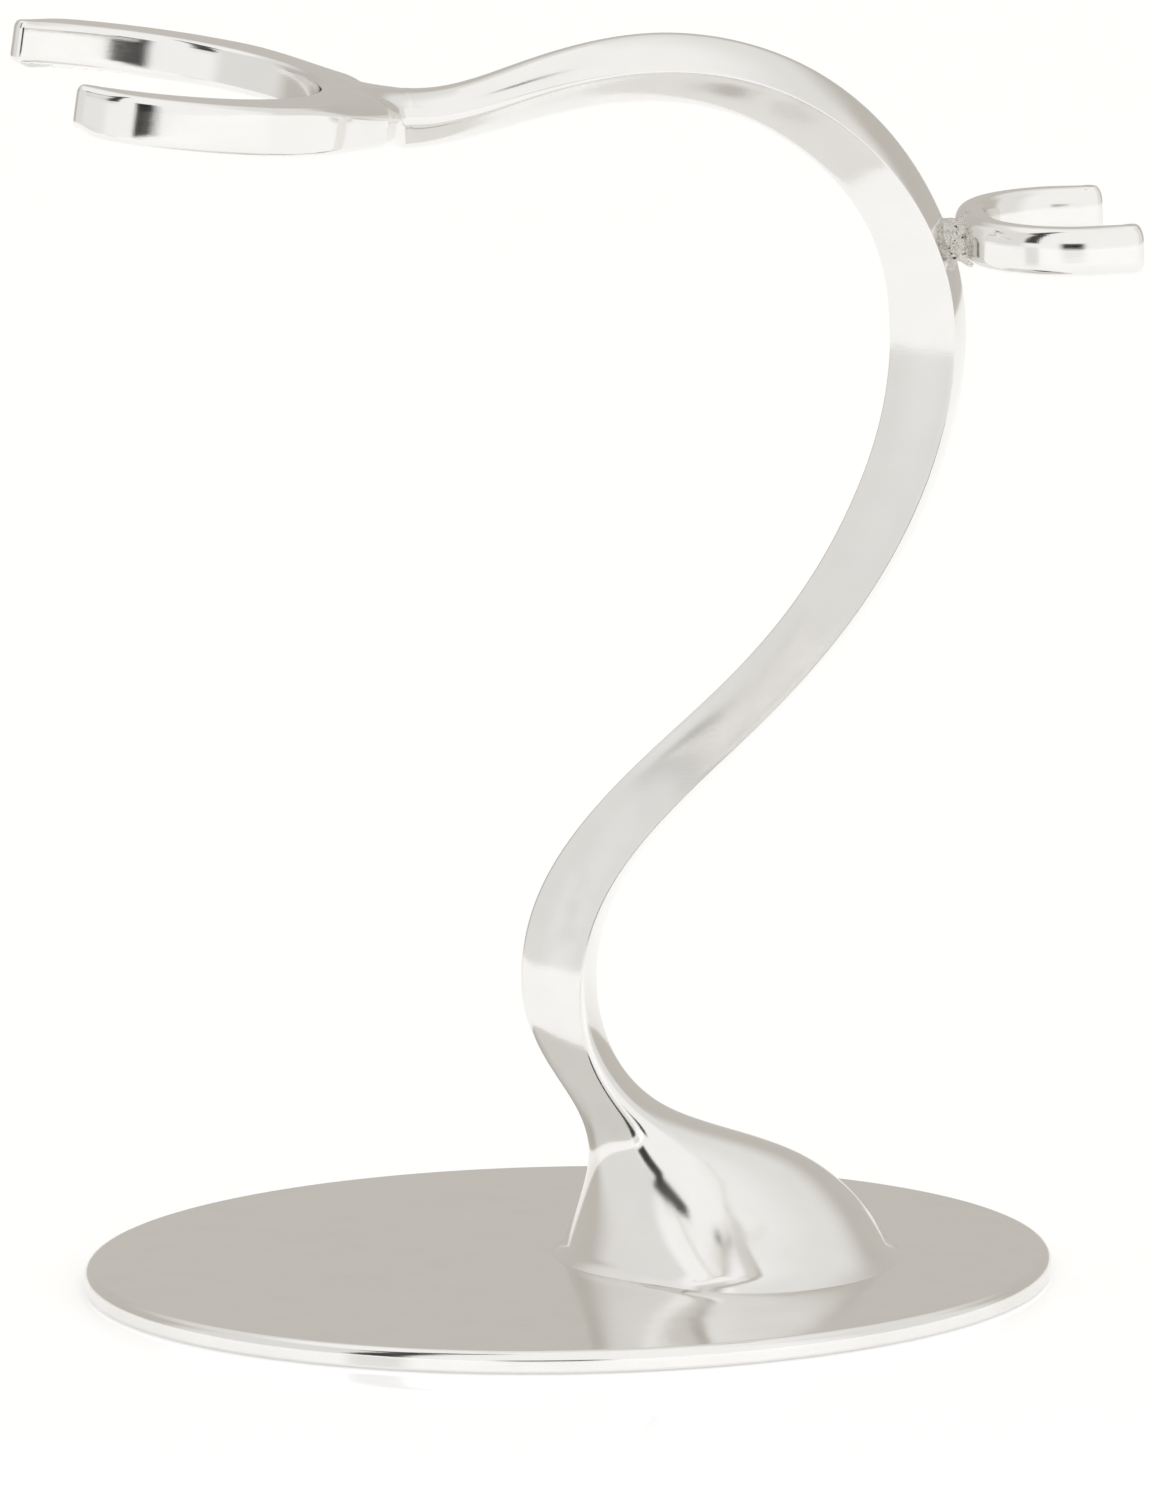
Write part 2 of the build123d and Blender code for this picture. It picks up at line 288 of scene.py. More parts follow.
def even_points(points, spacing):
    """The same open outline with points at an even spacing."""
    points = np.array(points, float)
    steps = np.linalg.norm(np.diff(points, axis=0), axis=1)
    keep = np.concatenate([[True], steps > 1e-6])
    points = points[keep]
    reach = np.concatenate([[0], np.cumsum(steps[steps > 1e-6])])
    places = np.linspace(0, reach[-1], int(reach[-1] / spacing) + 2)
    return np.stack([np.interp(places, reach, points[:, k]) for k in range(2)], 1)


def inward_normals(points, closed):
    """Unit normals to the left of the walking direction of a plan outline."""
    if closed:
        along = np.roll(points, -1, 0) - np.roll(points, 1, 0)
    else:
        along = np.gradient(points, axis=0)
    along /= np.linalg.norm(along, axis=1)[:, None]
    return np.stack([-along[:, 1], along[:, 0]], 1)


def inset_shares(points, spacing, inset):
    """The share of an inset that each point can take before the plan outline folds over itself."""
    along = np.gradient(points, axis=0)
    heading = np.unwrap(np.arctan2(along[:, 1], along[:, 0]))
    right_turn = np.maximum(-np.gradient(heading) / spacing, 1e-6)
    reach = INSET_SAFETY / right_turn
    neighbours = range(-INSET_NEIGHBOURS, INSET_NEIGHBOURS + 1)
    reach = np.minimum.reduce([np.roll(reach, k) for k in neighbours])
    return np.minimum(1, reach / inset)


# ---- mesh helpers ------------------------------------------------------------------------------
def make_piece(name, points_mm, faces, material, replaced):
    """A mesh object in metres whose normals follow its larger faces, so that flats stay flat."""
    mesh = bpy.data.meshes.new(name)
    mesh.from_pydata((np.asarray(points_mm) * MM).tolist(), [], faces)
    mesh.validate()
    work = bmesh.new()
    work.from_mesh(mesh)
    bmesh.ops.remove_doubles(work, verts=work.verts, dist=1e-7)
    bmesh.ops.recalc_face_normals(work, faces=work.faces)
    work.to_mesh(mesh)
    work.free()
    mesh.polygons.foreach_set("use_smooth", [True] * len(mesh.polygons))
    mesh.set_sharp_from_angle(angle=SHARP_ANGLE)
    mesh.materials.append(material)
    piece = bpy.data.objects.new(name, mesh)
    bpy.context.scene.collection.objects.link(piece)
    shading = piece.modifiers.new("flat_faces_lead", "WEIGHTED_NORMAL")
    shading.keep_sharp = True
    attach(piece, "root")
    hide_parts(replaced)
    return piece


class Skin:
    """Collects points and faces of one piece."""

    def __init__(self):
        self.points = []
        self.faces = []

    def ring(self, points):
        """Adds points and returns their numbers."""
        start = len(self.points)
        self.points.extend(np.asarray(points, float).tolist())
        return list(range(start, len(self.points)))

    def bridge(self, first, second, closed=True):
        """Quads between two rings that have the same number of points."""
        count = len(first)
        for k in range(count if closed else count - 1):
            n = (k + 1) % count
            self.faces.append((first[k], first[n], second[n], second[k]))

    def zip(self, first, second):
        """Triangles between two open chains of points that run the same way."""
        i = 0
        j = 0
        while i < len(first) - 1 or j < len(second) - 1:
            if j == len(second) - 1:
                use_first = True
            elif i == len(first) - 1:
                use_first = False
            else:
                first_step = math.dist(self.points[first[i + 1]], self.points[second[j]])
                second_step = math.dist(self.points[first[i]], self.points[second[j + 1]])
                use_first = first_step <= second_step
            if use_first:
                self.faces.append((first[i], first[i + 1], second[j]))
                i += 1
            else:
                self.faces.append((first[i], second[j + 1], second[j]))
                j += 1

    def cap(self, ring, holes=()):
        """Fills a flat outline, leaving the holes open."""
        if not holes:
            self.faces.append(tuple(ring))
            return
        work = bmesh.new()
        numbers = {}
        edges = []
        for loop in (ring, *holes):
            verts = [work.verts.new(self.points[k]) for k in loop]
            numbers.update(zip(verts, loop))
            edges += [work.edges.new((verts[k - 1], verts[k])) for k in range(len(verts))]
        bmesh.ops.triangle_fill(work, edges=edges, use_beauty=True)
        for face in work.faces:
            self.faces.append(tuple(numbers[v] for v in face.verts))
        work.free()


def circle_ring(x, radius, z, steps=48):
    angles = np.linspace(0, 2 * np.pi, steps, endpoint=False)
    return np.stack([x + radius * np.cos(angles), radius * np.sin(angles), np.full(steps, z)], 1)


# ---- materials ---------------------------------------------------------------------------------
class Nodes:
    """A short way to build a material's node tree."""

    def __init__(self, name, **settings):
        self.material = bpy.data.materials.new(name)
        self.material.use_nodes = True
        self.tree = self.material.node_tree
        self.shader = self.tree.nodes["Principled BSDF"]
        for key, value in settings.items():
            self.shader.inputs[key.replace("_", " ")].default_value = value
        self.place = self.add("ShaderNodeTexCoord").outputs["Object"]

    def add(self, kind, settings=None, **inputs):
        node = self.tree.nodes.new(kind)
        for key, value in (settings or {}).items():
            setattr(node, key, value)
        for key, value in inputs.items():
            self.wire(value, node.inputs[key.replace("_", " ")])
        return node

    def wire(self, value, socket):
        if isinstance(value, bpy.types.NodeSocket):
            self.tree.links.new(value, socket)
        else:
            socket.default_value = value

    def noise(self, scale, detail=2.0, roughness=0.5, stretch=(1, 1, 1)):
        """Noise between 0 and 1; scale is in waves per metre and stretch multiplies it per axis."""
        mapping = self.add("ShaderNodeMapping", Vector=self.place, Scale=stretch)
        texture = self.add(
            "ShaderNodeTexNoise",
            Vector=mapping.outputs["Vector"],
            Scale=scale,
            Detail=detail,
            Roughness=roughness,
        )
        return texture.outputs["Fac"]

    def range(self, value, from_low, from_high, to_low, to_high):
        return self.add(
            "ShaderNodeMapRange",
            Value=value,
            From_Min=from_low,
            From_Max=from_high,
            To_Min=to_low,
            To_Max=to_high,
        ).outputs["Result"]

    def math(self, operation, first, second=0.0):
        node = self.add("ShaderNodeMath", {"operation": operation})
        self.wire(first, node.inputs[0])
        self.wire(second, node.inputs[1])
        return node.outputs["Value"]

    def mix(self, share, first, second):
        node = self.add("ShaderNodeMix", {"data_type": "RGBA"})
        self.wire(share, node.inputs["Factor"])
        self.wire(first, node.inputs["A"])
        self.wire(second, node.inputs["B"])
        return node.outputs["Result"]

    def bump(self, height, distance, strength=1.0, normal=None):
        inputs = {"Height": height, "Distance": distance, "Strength": strength}
        if normal is not None:
            inputs["Normal"] = normal
        return self.add("ShaderNodeBump", **inputs).outputs["Normal"]

    def finish(self, **links):
        for key, value in links.items():
            self.tree.links.new(value, self.shader.inputs[key.replace("_", " ")])
        return self.material


def nickel_material(name, tint, scratch_depth):
    """Mirror-polished nickel: slow waves from hand polishing, fine crossing scratches, haze."""
    nodes = Nodes(name, Metallic=1.0)
    haze = nodes.noise(220, 3)
    fine = nodes.noise(900, 2, stretch=(1, 1, 9))
    crossing = nodes.noise(1400, 2, stretch=(7, 1, 1))
    tone = nodes.mix(nodes.range(haze, 0.3, 0.7, 0, 1), tint, [c * 0.97 for c in tint[:3]] + [1])
    roughness = nodes.range(haze, 0.3, 0.7, 0.09, 0.13)
    scratches = nodes.math("ADD", fine, crossing)
    waves = nodes.bump(nodes.noise(160, 1), 0.00003)
    return nodes.finish(
        Base_Color=tone,
        Roughness=roughness,
        Normal=nodes.bump(scratches, scratch_depth, normal=waves),
    )


def braze_material():
    """Undressed silver braze: rough, whitish, with dark flux specks in its pits."""
    nodes = Nodes("rough_braze", Metallic=1.0)
    pits = nodes.noise(1500, 4, 0.7)
    specks = nodes.range(nodes.noise(2200, 3), 0.62, 0.68, 0, 1)
    tone = nodes.mix(specks, (0.78, 0.76, 0.71, 1), (0.05, 0.045, 0.04, 1))
    return nodes.finish(
        Base_Color=tone,
        Roughness=nodes.range(pits, 0.3, 0.7, 0.15, 0.4),
        Normal=nodes.bump(pits, 0.0005),
    )


def steel_material():
    nodes = Nodes("zinc_steel", Metallic=1.0)
    grain = nodes.noise(2500, 3)
    tone = nodes.mix(grain, (0.50, 0.52, 0.54, 1), (0.62, 0.62, 0.60, 1))
    return nodes.finish(
        Base_Color=tone,
        Roughness=nodes.range(grain, 0, 1, 0.25, 0.45),
        Normal=nodes.bump(grain, 0.00005),
    )


def film_material():
    nodes = Nodes("adhesive_film", Roughness=0.3)
    grain = nodes.noise(800, 2)
    tone = nodes.mix(grain, (0.78, 0.75, 0.64, 1), (0.84, 0.82, 0.74, 1))
    return nodes.finish(Base_Color=tone, Normal=nodes.bump(grain, 0.00003))


def felt_material():
    """Pressed wool: short crossing fibres, darker between them, with a soft sheen."""
    nodes = Nodes("dark_felt", Roughness=0.95, Sheen_Weight=0.4, Sheen_Roughness=0.5)
    along = nodes.noise(1800, 3, stretch=(1, 6, 1))
    across = nodes.noise(1800, 3, stretch=(6, 1, 1))
    fibres = nodes.math("MAXIMUM", along, across)
    clumps = nodes.noise(350, 3)
    tone = nodes.mix(nodes.range(fibres, 0.4, 0.75, 0, 1), (0.012, 0.012, 0.014, 1), (0.06, 0.06, 0.066, 1))
    height = nodes.math("ADD", fibres, clumps)
    return nodes.finish(Base_Color=tone, Normal=nodes.bump(height, 0.00025))


NICKEL = nickel_material("polished_nickel", (0.865, 0.855, 0.835, 1), 0.0000014)
BRAZE = braze_material()
STEEL = steel_material()
FILM = film_material()
FELT = felt_material()


# ---- stem ---------------------------------------------------------------------------------------
def half_section(row):
    """Half of the stem's section: (depth from the ridge, distance from the middle) in mm."""
    length = math.hypot(row[2] - row[0], row[3] - row[1])
    half_width, edge_share, crown, nose, edge_round, ridge_round = row[4:]
    edge = np.array([edge_share * length, half_width])
    top = (
        np.array([0.0, 0.0]),
        np.array([edge_share * (1 - crown) / 2 * length, half_width * (1 + crown) / 2]),
        edge,
    )
    flank_share = edge_share + (1 - edge_share) / 3
    side = (
        edge,
        np.array([flank_share * length, half_width * 2 / 3]),
        np.array([length, half_width * nose]),
        np.array([length, 0.0]),
    )
    ridge_cut = min(RIDGE_CUT_LIMIT, ridge_round / (2 * np.linalg.norm(top[1] - top[0])))
    top_cut = min(OUTER_CUT_LIMIT, edge_round / (2 * np.linalg.norm(top[2] - top[1])))
    side_cut = min(INNER_CUT_LIMIT, edge_round / (3 * np.linalg.norm(side[1] - side[0])))
    ridge_end = bezier(top, [ridge_cut])[0]
    top_end = bezier(top, [1 - top_cut])[0]
    side_start = bezier(side, [side_cut])[0]
    ridge_corner = (ridge_end * (1, -1), top[0], ridge_end)
    ridge_turn = bezier(ridge_corner, np.linspace(0.5, 1, RIDGE_POINTS))
    top_face = bezier(top, np.linspace(ridge_cut, 1 - top_cut, OUTER_FACE_POINTS))
    edge_turn = bezier((top_end, edge, side_start), np.linspace(0, 1, EDGE_POINTS))
    crowded = np.linspace(0, 1, INNER_FACE_POINTS) ** INNER_FACE_CROWDING
    side_face = bezier(side, side_cut + (1 - side_cut) * crowded)
    return np.concatenate([ridge_turn, top_face[1:], edge_turn[1:], side_face[1:]])


def place_section(half, ridge, inner):
    """The closed section in 3-D, from the ridge down the near side and up the far side."""
    inward = (inner - ridge) / np.linalg.norm(inner - ridge)
    near = ridge + half[:, :1] * inward + half[:, 1:] * np.array([0, -1, 0])
    far = near * (1, -1, 1)
    return np.concatenate([near, far[-2:0:-1]])


def stem_rings():
    """The stem's sections from the neck to the plate, spread a little at the foot."""
    rings = []
    for row in cubic_curve(STEM_ROWS, STEM_STATIONS):
        ridge = np.array([row[0], 0, row[1]])
        inner = np.array([row[2], 0, row[3]])
        ring = place_section(half_section(row), ridge, inner)
        rise = np.clip(1 - (ring[:, 2] - PLATE_TOP) / FLARE_HEIGHT, 0, 1)
        outward = ring[:, :2] - FOOT_CENTRE
        outward /= np.maximum(np.linalg.norm(outward, axis=1), 1e-6)[:, None]
        ring[:, :2] += outward * (FLARE_REACH * rise**2)[:, None]
        rings.append(ring)
    return rings


def make_stem():
    skin = Skin()
    rings = [skin.ring(ring) for ring in stem_rings()]
    for first, second in zip(rings, rings[1:]):
        skin.bridge(first, second)
    skin.cap(rings[0])
    mouths = []
    for x in SCREW_PLACES_X:
        mouth = skin.ring(circle_ring(x, TAPPED_HOLE_RADIUS, PLATE_TOP))
        floor = skin.ring(circle_ring(x, TAPPED_HOLE_RADIUS, PLATE_TOP + TAPPED_HOLE_DEPTH))
        skin.bridge(mouth, floor)
        skin.cap(floor)
        mouths.append(mouth)
    skin.cap(rings[-1], mouths)
    return make_piece("stem_body", skin.points, skin.faces, NICKEL, "stem")


def root_section():
    """Half of the stem's section at the neck, which the seam and the fork's root share."""
    return half_section(np.array(STEM_ROWS[0]))


def make_brush_fork_seam():
    """The dressed braze seam, a thin slice of the stem's own section."""
    skin = Skin()
    half = root_section()
    rings = []
    for x in (SEAM_LOW[0], SEAM_HIGH[0]):
        ridge = np.array([x, 0, SEAM_HIGH[2]])
        inner = np.array([x, 0, SEAM_LOW[2]])
        rings.append(skin.ring(place_section(half, ridge, inner)))
    skin.bridge(rings[0], rings[1])
    skin.cap(rings[0])
    skin.cap(rings[1])
    make_piece("brush_fork_seam", skin.points, skin.faces, NICKEL, "brush_fork_braze")


# ---- brush fork ---------------------------------------------------------------------------------
def rim_profile(inset, drop, height, bottom_radius):
    """Inset and drop below the top plane, from the top flat's edge to the bottom flat's edge."""
    turn = np.radians(np.linspace(0, 90, RIM_STEPS))
    top = np.stack([inset * (1 - np.sin(turn)), drop * (1 - np.cos(turn))], 1)
    wall_drops = np.linspace(drop, height - bottom_radius, WALL_STEPS + 1)[1:]
    wall = np.stack([np.zeros(WALL_STEPS), wall_drops], 1)
    bottom_drops = height - bottom_radius + bottom_radius * np.sin(turn)
    bottom = np.stack([bottom_radius * (1 - np.cos(turn)), bottom_drops], 1)
    return np.concatenate([top, wall, bottom[1:]])


def fork_profile(along, is_inner):
    """The fork's edge: widely rounded on the crown, tighter on the prongs, rounder at the tips."""
    if is_inner:
        return rim_profile(FORK_RIM, FORK_RIM, FORK_INNER_HEIGHT, FORK_RIM)
    prong = fade(along, CROWN_RIM_FADE)
    tip = fade(along, TIP_RIM_FADE)
    inset = CROWN_RIM_INSET + (FORK_RIM - CROWN_RIM_INSET) * prong + TIP_RIM_EXTRA * tip
    drop = CROWN_RIM_DROP + (FORK_RIM - CROWN_RIM_DROP) * prong + TIP_RIM_EXTRA * tip
    nose = fade(along, NOSE_HEIGHT_FADE)
    height = FORK_HEIGHT + (FORK_INNER_HEIGHT - FORK_HEIGHT) * nose
    return rim_profile(inset, drop, height, FORK_RIM)


def blend_flank(points):
    """Eases the flank into the ring, so that no crease shows where they meet."""
    start = points[:2].copy()
    for _ in range(FLANK_PASSES):
        middle = (points[: FLANK_POINTS - 1] + points[2 : FLANK_POINTS + 1]) / 2
        points[1:FLANK_POINTS] = (points[1:FLANK_POINTS] + middle) / 2
        points[:2] = start
    return points


def fork_outline():
    """Plan of one side of the fork from the flank, round the prong, to the middle of the crotch."""
    touch = (
        RING_OUTER[0] - RING_OUTER[1] * math.sin(FLANK_ANGLE),
        RING_OUTER[1] * math.cos(FLANK_ANGLE),
    )
    slope = math.tan(FLANK_ANGLE)
    flank_start = (FLANK_START, touch[1] - (touch[0] - FLANK_START) * slope)
    tip_turn = math.degrees(math.acos((TIP_OUTER[0] - RING_OUTER[0]) / RING_OUTER[1]))
    flank_turn = 90 + math.degrees(FLANK_ANGLE)
    outer = arc((RING_OUTER[0], 0), RING_OUTER[1], flank_turn, tip_turn, OUTER_ARC_POINTS)
    inner_turn = math.degrees(math.acos((TIP_INNER[0] - RING_INNER[0]) / RING_INNER[1]))
    inner = arc((RING_INNER[0], 0), RING_INNER[1], inner_turn, 180, INNER_ARC_POINTS)
    points = [flank_start, *outer, TIP_NOSE, *inner]
    points = round_corner(points, len(outer) + 2, TIP_INNER_CUT)
    points = round_corner(points, [tuple(p) for p in points].index(TIP_NOSE), TIP_NOSE_CUT)
    points = round_corner(points, len(outer), TIP_OUTER_CUT)
    return blend_flank(even_points(points, FORK_SPACING))


def neck_half_width(distance, end):
    """Half width of the crown between its root and the flank, whose own half width is end."""
    slope = math.tan(FLANK_ANGLE)
    t = distance / FLANK_START
    ends = NECK_HALF_WIDTH * (1 - 3 * t**2 + 2 * t**3) + end * (3 * t**2 - 2 * t**3)
    return ends + slope * FLANK_START * (t**3 - t**2)


def fork_place(points):
    """From the fork's own plane (along, across, drop) to the frame."""
    along = np.array([-math.cos(FORK_PITCH), 0, math.sin(FORK_PITCH)])
    upward = np.array([math.sin(FORK_PITCH), 0, math.cos(FORK_PITCH)])
    points = np.asarray(points, float)
    side = np.array([0, 1, 0])
    return (
        np.array(FORK_ROOT)
        + points[:, :1] * along
        + points[:, 1:2] * side
        - points[:, 2:] * upward
    )


def neck_columns(outline):
    """Half sections from the stem's section at the root to the rounded plate at the flank."""
    root = root_section()
    profile = fork_profile(FLANK_START, False)
    flank_inward = -inward_normals(outline[:2], False)[0]
    flats = np.linspace(0, 1, FLAT_STEPS)[:, None]
    bottom_count = len(root) - FLAT_STEPS - len(profile) + 1
    bottom_flats = np.linspace(0, 1, bottom_count + 1)[1:, None]
    columns = []
    for distance in np.linspace(0, FLANK_START, NECK_COLUMNS):
        share = smooth_step(distance / FLANK_START)
        half_width = neck_half_width(distance, outline[0][1])
        lean = 1 - share
        kite = np.stack([
            distance - root[:, 0] * math.sin(FORK_PITCH) * lean,
            root[:, 1] * half_width / NECK_HALF_WIDTH,
            root[:, 0] * (math.cos(FORK_PITCH) * lean + share),
        ], 1)
        inward = np.array([0, -1]) * lean + flank_inward * share
        inward /= np.linalg.norm(inward)
        rim = np.stack([
            distance + inward[0] * profile[:, 0],
            half_width + inward[1] * profile[:, 0],
            profile[:, 1],
        ], 1)
        centre = distance + CROWN_RIM_INSET * share
        top_middle = np.array([centre, 0, 0])
        bottom_middle = np.array([centre, 0, FORK_HEIGHT])
        top = top_middle + (rim[0] - top_middle) * flats
        bottom = rim[-1] + (bottom_middle - rim[-1]) * bottom_flats
        plate = np.concatenate([top, rim[1:], bottom])
        columns.append(kite * lean + plate * share)
    return columns


def make_brush_fork():
    """The neck, crown and two prongs: rings round the rim, joined across the top and bottom."""
    skin = Skin()
    outline = fork_outline()
    inward = -inward_normals(outline, False)
    inward[-1] = (-1, 0)
    nose = int(np.argmax(outline[:, 0]))
    neck = neck_columns(outline)
    shares = inset_shares(outline, FORK_SPACING, FORK_RIM + TIP_RIM_EXTRA)
    outer_profile_length = len(fork_profile(0, False))
    rim_start = FLAT_STEPS - 1
    for side in (1, -1):
        mirror = np.array([1, side, 1])
        columns = [skin.ring(fork_place(column * mirror)) for column in neck]
        for first, second in zip(columns, columns[1:]):
            skin.bridge(first, second, closed=False)
        rings = []
        for k, ((x, y), (nx, ny)) in enumerate(zip(outline, inward)):
            inner_share = smooth_step((k - nose) / TIP_BLEND + 0.5)
            outer = fork_profile(x, False)
            profile = outer + (fork_profile(x, True) - outer) * inner_share
            inset = profile[:, 0] * shares[k]
            ring = np.stack([x + nx * inset, y + ny * inset, profile[:, 1]], 1)
            rings.append(skin.ring(fork_place(ring * mirror)))
        for first, second in zip(rings, rings[1:]):
            skin.bridge(first, second, closed=False)
        top_start = columns[-1][: rim_start + 1]
        bottom_start = columns[-1][rim_start + outer_profile_length - 1 :][::-1]
        for flat_start, end in ((top_start, 0), (bottom_start, -1)):
            outer_side = flat_start + [ring[end] for ring in rings[1 : nose + 1]]
            inner_side = [ring[end] for ring in rings[nose:]][::-1]
            skin.zip(outer_side, inner_side)
    root_inner = np.array([FORK_ROOT[0], 0, SEAM_LOW[2]])
    skin.cap(skin.ring(place_section(root_section(), np.array(FORK_ROOT), root_inner)))
    make_piece("brush_fork_body", skin.points, skin.faces, NICKEL, "brush_fork")


# ---- razor fork ---------------------------------------------------------------------------------
def razor_outline():
    """Closed plan of the small fork: a squarish half ring, open towards +X."""
    outer_centre_x = RAZOR_ROOT_X + RAZOR_CORNER
    straight_y = RAZOR_HALF_WIDTH - RAZOR_CORNER
    inner_radius = RAZOR_CORNER - RAZOR_WALL
    tip_half_width = RAZOR_HALF_WIDTH - RAZOR_TIP_OUTER_INSET
    outer = [
        (RAZOR_TIP_X, -tip_half_width),
        *arc((outer_centre_x, -straight_y), RAZOR_CORNER, 270, 180, RAZOR_OUTER_ARC_POINTS),
        *arc((outer_centre_x, straight_y), RAZOR_CORNER, 180, 90, RAZOR_OUTER_ARC_POINTS),
        (RAZOR_TIP_X, tip_half_width),
    ]
    inner = [
        (RAZOR_TIP_X, RAZOR_HALF_WIDTH - RAZOR_WALL),
        *arc((outer_centre_x, straight_y), inner_radius, 90, 180, RAZOR_INNER_ARC_POINTS),
        *arc((outer_centre_x, -straight_y), inner_radius, 180, 270, RAZOR_INNER_ARC_POINTS),
        (RAZOR_TIP_X, -RAZOR_HALF_WIDTH + RAZOR_WALL),
    ]
    start = (RAZOR_TIP_X, -RAZOR_HALF_WIDTH + RAZOR_TIP_MIDDLE)
    points = [start, *outer, *inner, start]
    for corner in (len(points) - 2, len(outer) + 1, len(outer), 1):
        points = round_corner(points, corner, RAZOR_TIP_ROUNDING)
    return even_points(points, RAZOR_SPACING)[:-1]


def make_razor_fork():
    """The small fork as a stack of rings, its top and bottom rims rounded."""
    skin = Skin()
    outline = razor_outline()
    inward = inward_normals(outline, True)
    shares = inset_shares(outline, RAZOR_SPACING, RAZOR_RIM)
    top_z = RAZOR_HIGH[2]
    height = RAZOR_HIGH[2] - RAZOR_LOW[2]
    rings = []
    for inset, drop in rim_profile(RAZOR_RIM, RAZOR_RIM_DROP, height, RAZOR_RIM):
        plan = outline - inward * (shares * inset)[:, None]
        ring = np.concatenate([plan, np.full((len(plan), 1), top_z - drop)], 1)
        rings.append(skin.ring(ring))
    for first, second in zip(rings, rings[1:]):
        skin.bridge(first, second)
    skin.cap(rings[0])
    skin.cap(rings[-1])
    make_piece("razor_fork_body", skin.points, skin.faces, NICKEL, "razor_fork")


def make_razor_bead():
    """A rough bead of braze, waisted between the stem and the fork, pitted all over."""
    skin = Skin()
    low, high = box_mm("razor_fork_braze")
    middle_z = (low[2] + high[2]) / 2
    angles = np.linspace(0, 2 * np.pi, BEAD_STEPS, endpoint=False)
    rings = []
    for share in np.linspace(0, 1, BEAD_RINGS):
        x = BEAD_START_X + (RAZOR_ROOT_X + BEAD_OVERLAP - BEAD_START_X) * share
        waist = BEAD_WAIST + BEAD_WAIST_SPREAD * abs(share - BEAD_WAIST_PLACE) ** 2
        half_width = BEAD_HALF_WIDTH * waist + BEAD_MARGIN
        half_height = BEAD_HALF_HEIGHT * waist + BEAD_MARGIN
        points = []
        for angle in angles:
            across = BEAD_HALF_WIDTH * math.cos(angle)
            upward = BEAD_HALF_WIDTH * math.sin(angle)
            place = Vector((x * BEAD_STRETCH, across, upward))
            lumps = sum(lump * noise.noise(place * waves) for lump, waves in BEAD_LUMPS)
            points.append((
                x,
                (half_width + lumps) * math.cos(angle),
                middle_z + (half_height + lumps) * math.sin(angle),
            ))
        rings.append(skin.ring(points))
    for first, second in zip(rings, rings[1:]):
        skin.bridge(first, second)
    skin.cap(rings[0])
    skin.cap(rings[-1])
    make_piece("razor_fork_bead", skin.points, skin.faces, BRAZE, "razor_fork_braze")


# ---- base ---------------------------------------------------------------------------------------
def plate_profile():
    """Radius and height of the plate, from the recess's ceiling round the rim to the top face."""
    bottom = PLATE_LOW[2]
    points = [(RECESS_RADIUS, bottom + RECESS_DEPTH), (RECESS_RADIUS, bottom)]
    low_centre = (PLATE_RADIUS - RIM_BOTTOM_RADIUS, bottom + RIM_BOTTOM_RADIUS)
    high_centre = (PLATE_RADIUS - RIM_TOP_RADIUS, PLATE_TOP - RIM_TOP_RADIUS)
    points += list(arc(low_centre, RIM_BOTTOM_RADIUS, -90, 0, RIM_BOTTOM_STEPS))
    points += list(arc(high_centre, RIM_TOP_RADIUS, 0, 90, RIM_TOP_STEPS))
    return points


def make_base_plate():
    """The round plate with its recess below and its two countersunk screw holes."""
    skin = Skin()
    rings = [skin.ring(circle_ring(0, r, z, ROUND_STEPS)) for r, z in plate_profile()]
    for first, second in zip(rings, rings[1:]):
        skin.bridge(first, second)
    ceiling = PLATE_LOW[2] + RECESS_DEPTH
    top_mouths = []
    bottom_mouths = []
    for x in SCREW_PLACES_X:
        levels = (
            (HEAD_HOLE_RADIUS, ceiling),
            (PLATE_HOLE_RADIUS, ceiling + HEAD_HOLE_DEPTH),
            (PLATE_HOLE_RADIUS, PLATE_TOP),
        )
        hole = [skin.ring(circle_ring(x, r, z)) for r, z in levels]
        skin.bridge(hole[0], hole[1])
        skin.bridge(hole[1], hole[2])
        bottom_mouths.append(hole[0])
        top_mouths.append(hole[2])
    skin.cap(rings[0], bottom_mouths)
    skin.cap(rings[-1], top_mouths)
    make_piece("base_plate_body", skin.points, skin.faces, NICKEL, "base_plate")


def make_felt_pad():
    """A felt disc with a soft edge and a slightly uneven underside."""
    skin = Skin()
    radius = PAD_HIGH[0]
    top = PAD_HIGH[2]
    low_centre = (radius - PAD_BOTTOM_ROUNDING, PAD_BOTTOM_ROUNDING)
    high_centre = (radius - PAD_TOP_ROUNDING, top - PAD_TOP_ROUNDING)
    edge = [
        *arc(low_centre, PAD_BOTTOM_ROUNDING, -90, 0, PAD_ROUNDING_STEPS),
        *arc(high_centre, PAD_TOP_ROUNDING, 0, 90, PAD_ROUNDING_STEPS),
    ]
    rings = []
    for r in np.linspace(PAD_FIRST_RADIUS, radius - PAD_EDGE_MARGIN, PAD_RINGS):
        ring = circle_ring(0, r, 0, PAD_STEPS)
        for point in ring:
            point[2] = PAD_HOLLOWS * max(0.0, noise.noise(Vector(point) * PAD_HOLLOW_SCALE))
        rings.append(skin.ring(ring))
    for r, z in edge:
        rings.append(skin.ring(circle_ring(0, r, z, PAD_STEPS)))
    for first, second in zip(rings, rings[1:]):
        skin.bridge(first, second)
    skin.cap(rings[0])
    skin.cap(rings[-1])
    pad = make_piece("felt_pad", skin.points, skin.faces, FELT, "base_pad")


def dress_cad_nodes():
    """The hidden screws and the adhesive keep their CAD shapes and get their own materials."""
    for node, material in (("foot_screws", STEEL), ("pad_adhesive", FILM)):
        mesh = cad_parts[node].data
        mesh.materials.clear()
        mesh.materials.append(material)


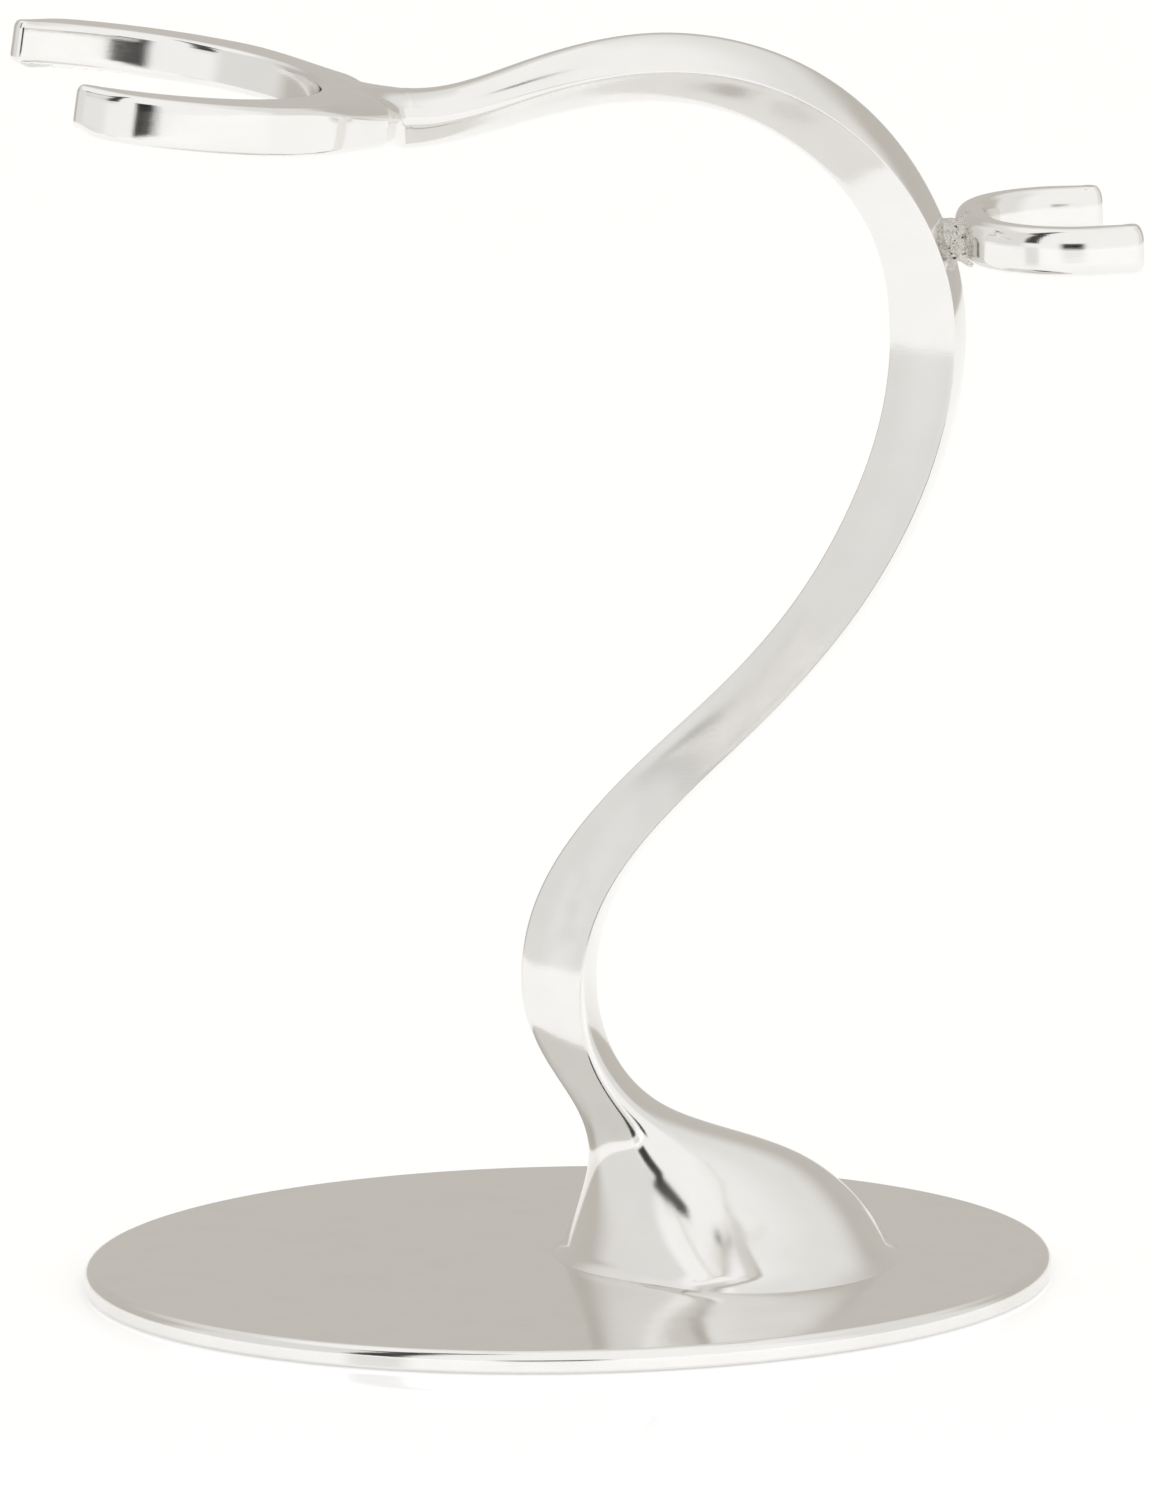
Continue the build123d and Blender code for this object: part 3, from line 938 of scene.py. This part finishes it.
# ---- studio -------------------------------------------------------------------------------------
def make_floor():
    """A round white floor, lit a little by itself so that it reads as a white sweep."""
    mesh = bpy.data.meshes.new("floor")
    ring = circle_ring(0, FLOOR_RADIUS, 0, FLOOR_STEPS)
    mesh.from_pydata(ring.tolist(), [], [tuple(range(len(ring)))])
    floor = bpy.data.objects.new("floor", mesh)
    bpy.context.scene.collection.objects.link(floor)
    nodes = Nodes(
        "white_floor",
        Roughness=0.08,
        Specular_IOR_Level=0.12,
        Emission_Color=(1, 1, 1, 1),
        Emission_Strength=FLOOR_GLOW,
    )
    tone = nodes.mix(nodes.noise(6, 2), (0.93, 0.93, 0.93, 1), (0.95, 0.95, 0.95, 1))
    mesh.materials.append(nodes.finish(Base_Color=tone))


def make_world():
    """A pale surround with soft-edged panels, placed by azimuth and elevation, to be reflected."""
    world = bpy.data.worlds.new("tent")
    bpy.context.scene.world = world
    world.use_nodes = True
    tree = world.node_tree
    direction = tree.nodes.new("ShaderNodeTexCoord").outputs["Generated"]
    split = tree.nodes.new("ShaderNodeSeparateXYZ")
    tree.links.new(direction, split.inputs[0])

    def wire(value, socket):
        if isinstance(value, bpy.types.NodeSocket):
            tree.links.new(value, socket)
        else:
            socket.default_value = value

    def math_node(operation, first, second=0.0):
        node = tree.nodes.new("ShaderNodeMath")
        node.operation = operation
        wire(first, node.inputs[0])
        wire(second, node.inputs[1])
        return node.outputs[0]

    def soft_step(value, start, end):
        node = tree.nodes.new("ShaderNodeMapRange")
        node.interpolation_type = "SMOOTHSTEP"
        wire(value, node.inputs["Value"])
        wire(start, node.inputs["From Min"])
        wire(end, node.inputs["From Max"])
        return node.outputs["Result"]

    def within(value, low, high, soft):
        rise = soft_step(value, low - soft, low + soft)
        fall = soft_step(value, high + soft, high - soft)
        return math_node("MULTIPLY", rise, fall)

    negative_y = math_node("MULTIPLY", split.outputs[1], -1.0)
    azimuth = math_node("MULTIPLY", math_node("ARCTAN2", split.outputs[0], negative_y), 180 / math.pi)
    elevation = math_node("MULTIPLY", math_node("ARCSINE", split.outputs[2]), 180 / math.pi)
    colour = WORLD_COLOUR
    for az_low, az_high, el_low, el_high, soft, tint in STUDIO_PANELS:
        in_azimuth = within(azimuth, az_low, az_high, soft)
        in_elevation = within(elevation, el_low, el_high, soft)
        mix = tree.nodes.new("ShaderNodeMix")
        mix.data_type = "RGBA"
        wire(math_node("MULTIPLY", in_azimuth, in_elevation), mix.inputs["Factor"])
        wire(colour, mix.inputs["A"])
        wire(tint, mix.inputs["B"])
        colour = mix.outputs["Result"]
    wire(colour, tree.nodes["Background"].inputs["Color"])


def make_camera():
    data = bpy.data.cameras.new("camera")
    data.lens = CAMERA_LENS
    data.sensor_width = CAMERA_SENSOR
    data.clip_start, data.clip_end = CAMERA_CLIP
    camera = bpy.data.objects.new("camera", data)
    bpy.context.scene.collection.objects.link(camera)
    camera.location = CAMERA_PLACE
    aim = (Vector(CAMERA_TARGET) - Vector(CAMERA_PLACE)).to_track_quat("-Z", "Y")
    camera.rotation_mode = "QUATERNION"
    camera.rotation_quaternion = aim @ Quaternion((0, 0, 1), math.radians(CAMERA_ROLL))
    bpy.context.scene.camera = camera


make_base_plate()
make_felt_pad()
make_stem()
make_brush_fork_seam()
make_brush_fork()
make_razor_fork()
make_razor_bead()
dress_cad_nodes()
make_floor()
make_world()
make_camera()
bpy.context.scene.view_settings.view_transform = "Standard"
